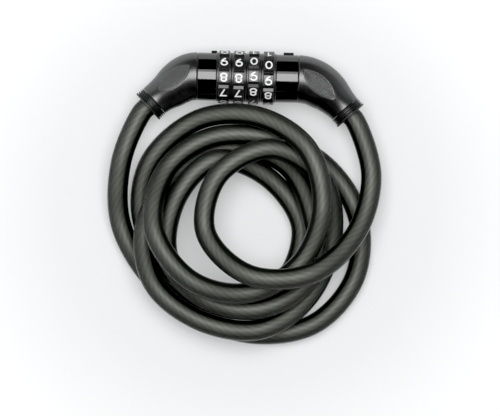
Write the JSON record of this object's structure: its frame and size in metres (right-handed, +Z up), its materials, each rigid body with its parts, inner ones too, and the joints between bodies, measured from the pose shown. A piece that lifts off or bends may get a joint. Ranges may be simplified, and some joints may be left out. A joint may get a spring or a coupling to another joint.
{
  "type": "combination cable lock",
  "caption": "Coiled combination cable lock: a thick sheathed steel cable joins the two elbow ends of a barrel of number dials; one end pulls out.",
  "frame": {"origin": "on the table, under the middle of the whole object's footprint", "axes": "+Z up from the table; +X along the lock's own axis, from the fixed boot to the plug's boot; +Y from the cable coil towards the lock, the side its code is read from"},
  "size_m": [0.1586, 0.17, 0.0502],
  "materials": {
    "boot_plastic": "satin, finely moulded",
    "relief_rubber": "matt",
    "collar_plastic": "high gloss",
    "dial_plastic": "satin",
    "sheath_plastic": "smoky, see-through, smooth",
    "rope_steel": "twisted bright strands",
    "zinc": "die-cast zinc, satin",
    "bright_steel": "turned",
    "brass": "turned"
  },
  "bodies": {
    "lock": {"left_boot": "boot_plastic", "left_strain_relief": "relief_rubber", "left_ferrule": "zinc", "lock_sleeve": "zinc", "retaining_clip": "bright_steel", "detent_spring": "bright_steel", "left_collar": "collar_plastic", "right_collar": "collar_plastic", "cable_sheath": "sheath_plastic", "cable_core": "rope_steel"},
    "wheel_1": {"dial_1": "dial_plastic", "code_ring_1": "brass"},
    "wheel_2": {"dial_2": "dial_plastic", "code_ring_2": "brass"},
    "wheel_3": {"dial_3": "dial_plastic", "code_ring_3": "brass"},
    "wheel_4": {"dial_4": "dial_plastic", "code_ring_4": "brass"},
    "plug": {"right_boot": "boot_plastic", "right_strain_relief": "relief_rubber", "right_ferrule": "zinc", "plug_pin": "bright_steel", "plug_cable_sheath": "sheath_plastic", "plug_cable_core": "rope_steel"}
  },
  "joints": [
    {"name": "dial_1_turn", "type": "hinge", "parent": "lock", "child": "wheel_1", "pos_m": [0.00003, 0.06962, 0.016], "axis": [1, 0, 0], "continuous": true},
    {"name": "dial_2_turn", "type": "hinge", "parent": "lock", "child": "wheel_2", "pos_m": [0.00003, 0.06962, 0.016], "axis": [1, 0, 0], "continuous": true},
    {"name": "dial_3_turn", "type": "hinge", "parent": "lock", "child": "wheel_3", "pos_m": [0.00003, 0.06962, 0.016], "axis": [1, 0, 0], "continuous": true},
    {"name": "dial_4_turn", "type": "hinge", "parent": "lock", "child": "wheel_4", "pos_m": [0.00003, 0.06962, 0.016], "axis": [1, 0, 0], "continuous": true},
    {"name": "plug_pull", "type": "slide", "parent": "lock", "child": "plug", "axis": [1, 0, 0], "range_m": [0, 0.05]}
  ]
}
